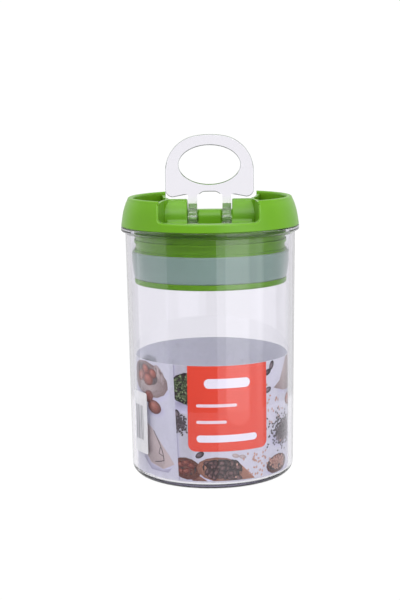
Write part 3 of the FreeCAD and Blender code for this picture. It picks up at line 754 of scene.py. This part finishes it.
def bean_spoon(inks):
    """A large wooden spoon heaped with rows of beans, and a few loose beans elsewhere."""
    inks.shadow.blob((8.5, 8.0), (17.0, 6.0), -8)
    inks.wood.blob((5.0, 12.0), (13.4, 7.2), -6, core=0.75, rim=0.3, look=(-0.6, 0.1))
    inks.wood.shape([(11.5, 17.6, 0.8), (17.0, 14.4, 0.75), (25.8, 5.2, 0.5), (12.0, 5.2, 0.35),
                     (10.0, 8.0, 0.4)])
    inks.hollow.blob((6.4, 12.2), (11.6, 5.8), -7, core=0.12)
    start_u, apart, stagger, sag = -2.4, 2.8, 1.3, 0.25
    heap = []
    for row, row_z in enumerate((16.2, 13.8, 11.2, 8.6)):
        for i in range(7):
            u = start_u + apart * i + stagger * (row % 2) + within(0.9)
            heap.append((u, row_z - sag * i + within(0.5)))
    coffee_beans(inks.coffee, heap, size=2.5)
    loose = ((-6.4, 20.6), (38.6, 69.6), (35.4, 66.0), (35.6, 55.6), (-19.5, 44.2))
    coffee_beans(inks.beans, loose, size=2.7, **RIGHT_SIDE)


def seed_bowl(inks):
    """A small bowl of red-brown seeds with loose ones round it, and two pale crumbs."""
    inks.shadow.blob((44.0, 6.6), (10.5, 4.0))
    inks.wood.blob((43.6, 10.4), (9.6, 5.6), 4, core=0.1)
    inks.hollow.blob((43.6, 11.0), (8.4, 4.6), 4, core=0.25, rim=0.1)
    for _ in range(70):
        inks.seeds.blob(somewhere_in((43.6, 11.2), (7.4, 3.9)), (1.15, 0.75), any_turn(),
                        core=random.uniform(0.9, 1.5), rim=0.1, sides=7)
    loose = scatter(24, (30.0, 17.0), (4.4, 3.0))
    loose += scatter(22, (41.0, 44.0), (4.4, 7.5))
    loose += scatter(12, (27.5, 8.5), (4.0, 2.0))
    for place in loose:
        inks.seeds.blob(place, (0.85, 0.55), any_turn(), core=1.1, rim=0.6, sides=8)
    for place in ((14.0, 19.6), (18.2, 18.6)):
        inks.cloth.blob(place, (2.2, 1.2), -15, rim=0.45)


def dark_seeds(inks):
    """A heap of dark seeds, and a small one left of the panel."""
    inks.shadow.blob((49.0, 26.0), (12, 7.0))
    inks.beans.blob((50.5, 28.6), (8.5, 6.0), 20, core=0.2, rim=0.55, sides=24)
    for place in scatter(420, (49.5, 29.5), (5.4, 4.4)):
        inks.beans.blob(place, (0.8, 0.5), any_turn(), core=random.uniform(0.1, 0.6), sides=6)
    for place in scatter(120, (-18.4, 38.2), (2.0, 2.2)):
        inks.beans.blob(place, (0.85, 0.55), any_turn(), core=0.4, sides=6, **RIGHT_SIDE)


def closed_sack(inks):
    """A closed sack with two nuts, at the right."""
    inks.shadow.blob((56.0, 55.0), (12, 5.0))
    inks.cloth.shape([(40.5, 56.0, 0.3), (46.5, 59.5, 0.6), (50.5, 66.5, 0.9), (54.5, 72.0, 0.8),
                      (66.0, 72.3, 0.7), (73.0, 66.0, 0.5), (71.0, 55.0, 0.3), (62.0, 51.8, 0.3),
                      (50.0, 53.0, 0.5)])
    for place in ((57.5, 46.5), (63.0, 44.0)):
        inks.nuts.blob(place, (4.6, 3.6), within(30), core=0.9, rim=0.1)


def far_side(inks):
    """The side away from the camera: more of the same, loosely laid."""
    for u, z in ((92.0, 50.0), (-86.0, 56.0)):
        inks.shadow.blob((u, z - 4), (19, 9), -6)
        inks.cloth.blob((u, z), (17, 10.5), -8, core=0.95, rim=0.3, look=(0.2, -0.4))
        inks.hollow.blob((u - 0.6, z + 2.2), (12, 6.2), -8, core=0.1, rim=0.5)
        for i in range(6):
            inks.nuts.blob((u - 9 + 3.5 * i, z + 2 + within(1.8)), (3.8, 3.1), within(40), core=0.95, rim=0.1)
    for u, z in ((88.0, 17.0), (-84.0, 20.0)):
        inks.shadow.blob((u, z - 3), (20, 7), 6)
        inks.wood.blob((u, z), (17, 8.0), 6, core=0.95, rim=0.45, look=(-0.6, 0.1))
        inks.hollow.blob((u + 0.8, z + 0.4), (14, 6.2), 6, core=0.12)
        coffee_beans(inks.beans, scatter(40, (u, z + 0.4), (5.4, 2.4)), size=2.2)
    low, high = 7.0, 70.0
    for u, z in scatter(90, (112.0, 34.0), (9.0, 13.0)) + scatter(90, (-112.0, 36.0), (9.0, 13.0)):
        inks.seeds.blob((u, min(max(z, low), high)), (1.05, 0.7), any_turn(), core=0.9, rim=0.25, sides=8)


def bar(inks, left, right, low, tall, shade):
    """A plain bar with round ends, in place of a line of wording."""
    inks.white.shape(rounded(left, right, low, low + tall, tall / 2, tall / 2, shade))


def panel(inks):
    inks.panel.shape(rounded(PANEL_LEFT, PANEL_RIGHT, PANEL_LOW, SHEET_TOP, PANEL_CORNER_R, 0.0, shade=0.5))
    bar(inks, left=-3.6, right=22.9, low=59.4, tall=5.6, shade=1.0)
    bar(inks, left=-8.1, right=15.0, low=48.5, tall=1.8, shade=0.7)
    bar(inks, left=-8.1, right=9.0, low=38.9, tall=1.8, shade=0.7)
    bar(inks, left=-8.1, right=27.2, low=28.0, tall=4.2, shade=1.0)


def print_label():
    """Draws every picture on the sheet, then wraps each ink round it."""
    random.seed(PRINT_SEED)
    inks = SimpleNamespace(
        shadow=Print("print_shadows_and_painted_seam_shadow", layer=0),
        cloth=Print("print_sackcloth", layer=1),
        hollow=Print("print_hollows", layer=2),
        wood=Print("print_wood", layer=2),
        nuts=Print("print_nuts", layer=3),
        green=Print("print_green_seeds", layer=3),
        beans=Print("print_beans", layer=4),
        coffee=Print("print_coffee", layer=4),
        seeds=Print("print_seeds", layer=4),
        panel=Print("print_panel", layer=5),
        white=Print("print_bars", layer=6))
    for picture in (lapped_edge_painted_shadow, open_sack, paper_bag, seed_dish, nut_spoon, bean_spoon, seed_bowl,
                    dark_seeds, closed_sack, far_side, panel):
        picture(inks)
    # The shadow ink holds the pictures' printed shadows and the painted shadow beside the lapped end.
    inks.shadow.finish(ink("ink_printed_and_painted_shadow", srgb(211, 209, 229), srgb(160, 156, 182)))
    inks.cloth.finish(ink("ink_sackcloth", srgb(120, 98, 96), srgb(206, 190, 188), grain=900.0, rough=0.5))
    inks.hollow.finish(ink("ink_hollow", srgb(44, 34, 38), srgb(150, 132, 134)))
    inks.wood.finish(ink("ink_wood", srgb(84, 40, 30), srgb(196, 140, 116), grain=150.0,
                         stretch=(1.0, 1.0, 9.0)))
    inks.nuts.finish(ink("ink_nuts", srgb(92, 38, 34), srgb(206, 122, 104), grain=320.0))
    inks.green.finish(ink("ink_green_seeds", srgb(26, 34, 22), srgb(168, 188, 138), grain=500.0))
    inks.coffee.finish(ink("ink_coffee", srgb(22, 10, 12), srgb(146, 108, 108), grain=420.0))
    inks.beans.finish(ink("ink_beans", srgb(30, 20, 26), srgb(176, 156, 166), grain=420.0))
    inks.seeds.finish(ink("ink_seeds", srgb(112, 56, 42), srgb(212, 168, 152), grain=420.0))
    inks.panel.finish(ink("ink_panel", srgb(232, 66, 42), srgb(238, 76, 52), grain=60.0))
    inks.white.finish(ink("ink_white", srgb(244, 170, 160), srgb(240, 238, 246), grain=120.0))


def sticker_marks():
    """Plain upright stripes on the small sticker outside the wall."""
    low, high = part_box("label_sticker")
    z0 = low.z + (high.z - low.z) * STRIPES_LOW
    z1 = low.z + (high.z - low.z) * STRIPES_HIGH
    form = bmesh.new()
    for i, width in enumerate(STRIPE_WIDTHS):
        middle = STRIPES_FROM + (STRIPES_TO - STRIPES_FROM) * i / (len(STRIPE_WIDTHS) - 1)
        half = width * MM / 2 / STICKER_R
        corners = []
        for turn, z in ((middle - half, z0), (middle + half, z0), (middle + half, z1), (middle - half, z1)):
            r = WALL_LOW_R + (WALL_TOP_R - WALL_LOW_R) * z / WALL_TOP_Z + STICKER_THICK + STRIPE_LIFT
            corners.append(form.verts.new((r * math.cos(turn), r * math.sin(turn), z)))
        form.faces.new(corners)
    obj = object_from(form, "sticker_stripes")
    obj.data.materials.append(ink("ink_stripes", srgb(120, 118, 130), srgb(150, 148, 160), grain=500.0))
    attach(obj, "canister")


# ---------------------------------------------------------------- the seal

def lathe(name, profile, material):
    """A ring with the given (radius, height) profile, closed on itself."""
    form = bmesh.new()
    rows = []
    for i in range(LATHE_TURNS):
        a = 2 * math.pi * i / LATHE_TURNS
        rows.append([form.verts.new((r * math.cos(a), r * math.sin(a), z)) for r, z in profile])
    for one, two in zip(rows, rows[1:] + rows[:1]):
        for j in range(len(profile)):
            k = (j + 1) % len(profile)
            form.faces.new((one[j], two[j], two[k], one[k]))
    bmesh.ops.recalc_face_normals(form, faces=form.faces)
    for face in form.faces:
        face.smooth = True
    obj = object_from(form, name)
    obj.data.materials.append(material)
    return obj


def groove(share, place, depth):
    """How far a moulded groove sinks into the seal at a share of its height."""
    return depth * math.exp(-((share - place) / GROOVE_WIDE) ** 2)


def seal():
    """The silicone sleeve: wider towards its top, with a fine groove near each end.
    The plunger squashes it against the lid."""
    low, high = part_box("silicone_seal")
    top_r = high.x - SEAL_CLEAR
    low_r = top_r - SEAL_TAPER
    tall = high.z - low.z
    profile = [(SEAL_BORE_R, high.z), (SEAL_BORE_R, low.z), (low_r - SEAL_LIP, low.z)]
    for i in range(SEAL_STEPS + 1):
        share = i / SEAL_STEPS
        z = low.z + SEAL_LIP * 0.5 + (tall - SEAL_LIP) * share
        r = low_r + (top_r - low_r) * math.sin(share * math.pi / 2) ** SEAL_CURVE
        profile.append((r - groove(share, *UPPER_GROOVE) - groove(share, *LOWER_GROOVE), z))
    profile.append((top_r - SEAL_LIP, high.z))
    obj = lathe("seal_sleeve", profile, silicone())
    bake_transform(obj)
    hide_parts("silicone_seal")


# ---------------------------------------------------------------- build

def cad_materials():
    """Gives every CAD node its material."""
    green = green_plastic()
    for node in ("lid_shell", "lid_core", "pressure_plate", "plunger_post", "hinge_pin"):
        give(NODES[node], green)
    give(NODES["canister_body"], clear_body())
    give(NODES["lever"], clear_lever())
    give(NODES["plate_screws"], steel())
    give(NODES["label_insert"], paper("label_paper", srgb(207, 206, 222), srgb(215, 214, 230)))
    give(NODES["label_sticker"], paper("sticker_paper", srgb(214, 213, 223), srgb(224, 223, 232)))


camera()
world()
floor()
lamps()
cad_materials()
seal()
print_label()
sticker_marks()
bpy.context.scene.view_settings.view_transform = "Standard"
